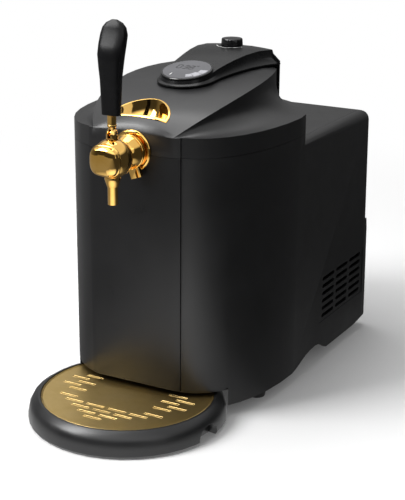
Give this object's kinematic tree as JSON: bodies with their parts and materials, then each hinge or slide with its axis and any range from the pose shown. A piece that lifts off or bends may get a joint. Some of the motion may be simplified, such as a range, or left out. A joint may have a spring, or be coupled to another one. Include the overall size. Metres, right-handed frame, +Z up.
{
  "type": "draft beer dispenser",
  "caption": "Counter-top beer dispenser with a cooled keg drum, hinged domed lid, lever tap and round slide-out drip tray.",
  "frame": {"origin": "middle of the footprint at table level, under the box that holds the whole machine with its drip tray", "axes": "+X to the machine's left-hand side as it faces the user (right in a front view), +Y to the back, +Z up; the tap and the tray face -Y"},
  "size_m": [0.2564, 0.5104, 0.4478],
  "materials": {
    "satin_black_plastic": "satin",
    "gloss_black_plastic": "gloss",
    "grey_plastic": "satin",
    "gold_plated_brass": "polished",
    "gold_drip_plate": "satin",
    "display_glass": "gloss",
    "black_rubber": "matte",
    "grey_silicone": "matte",
    "aluminium": "satin",
    "stainless_steel": "satin",
    "white_foam": "matte",
    "white_ceramic": "satin",
    "green_circuit_board": "satin",
    "brass": "satin"
  },
  "bodies": {
    "machine": {"body_shell": "satin_black_plastic", "front_panel": "gloss_black_plastic", "deck_panel": "satin_black_plastic", "rear_cover": "satin_black_plastic", "mains_inlet": "gloss_black_plastic", "base_plate": "satin_black_plastic", "rubber_foot_front_left": "black_rubber", "rubber_foot_front_right": "black_rubber", "rubber_foot_rear_left": "black_rubber", "rubber_foot_rear_right": "black_rubber", "insulation": "white_foam", "keg_well": "aluminium", "well_collar": "grey_plastic", "temperature_probe": "stainless_steel", "cold_block": "aluminium", "peltier_module": "white_ceramic", "heat_sink": "aluminium", "fan_frame": "gloss_black_plastic", "power_board": "green_circuit_board", "hinge_bracket": "stainless_steel", "hinge_pin": "stainless_steel", "hinge_screw_left": "stainless_steel", "hinge_screw_right": "stainless_steel", "cover_screw_lower_left": "stainless_steel", "cover_screw_lower_right": "stainless_steel", "cover_screw_upper_left": "stainless_steel", "cover_screw_upper_right": "stainless_steel", "tap_shank": "gold_plated_brass", "shank_washer": "stainless_steel", "shank_nut": "brass", "wall_flange": "gold_plated_brass", "coupling_nut": "gold_plated_brass", "tap_body": "gold_plated_brass", "tap_front_cap": "gold_plated_brass", "lever_bonnet": "gold_plated_brass", "lever_pin": "stainless_steel", "tap_spout": "gold_plated_brass"},
    "lid": {"lid_shell": "satin_black_plastic", "scoop_insert": "gold_plated_brass", "console_cover": "satin_black_plastic", "display_bezel": "gloss_black_plastic", "display_glass": "display_glass", "display_board": "green_circuit_board", "pressure_regulator": "brass", "cartridge_holder": "grey_plastic", "cartridge_cap": "brass", "lid_pan": "grey_plastic", "lid_seal": "grey_silicone", "hinge_leaf": "stainless_steel"},
    "knob": {"pressure_knob": "gloss_black_plastic"},
    "lever": {"tap_lever": "gold_plated_brass", "tap_handle": "satin_black_plastic"},
    "plunger": {"tap_plunger": "grey_silicone"},
    "ring": {"lock_ring": "gold_plated_brass"},
    "tray": {"drip_tray": "satin_black_plastic", "drip_plate": "gold_drip_plate"},
    "fan": {"fan_rotor": "gloss_black_plastic"}
  },
  "joints": [
    {"name": "lid_hinge", "type": "hinge", "parent": "machine", "child": "lid", "pos_m": [0, 0.12589, 0.3009], "axis": [-1, 0, 0], "range_deg": [0, 80]},
    {"name": "pressure_setting", "type": "hinge", "parent": "lid", "child": "knob", "pos_m": [0, 0.1007, 0.3841], "axis": [0, 0, 1], "range_deg": [0, 270]},
    {"name": "tap_lever", "type": "hinge", "parent": "machine", "child": "lever", "pos_m": [0, -0.1687, 0.331], "axis": [1, 0, 0], "range_deg": [0, 28]},
    {"name": "tap_plunger", "type": "slide", "parent": "machine", "child": "plunger", "axis": [0, 1, 0], "range_m": [0, 0.008]},
    {"name": "tap_lock", "type": "hinge", "parent": "machine", "child": "ring", "pos_m": [0, -0.13545, 0.3043], "axis": [0, 1, 0], "range_deg": [-45, 45]},
    {"name": "drip_tray_slide", "type": "slide", "parent": "machine", "child": "tray", "axis": [0, -1, 0], "range_m": [0, 0.12]},
    {"name": "fan_spin", "type": "hinge", "parent": "machine", "child": "fan", "pos_m": [0, 0.16309, 0.084], "axis": [0, 1, 0], "continuous": true}
  ],
  "couplings": [
    {"joint": "tap_plunger", "follows": "tap_lever", "m_per_rad": 0.01637}
  ]
}
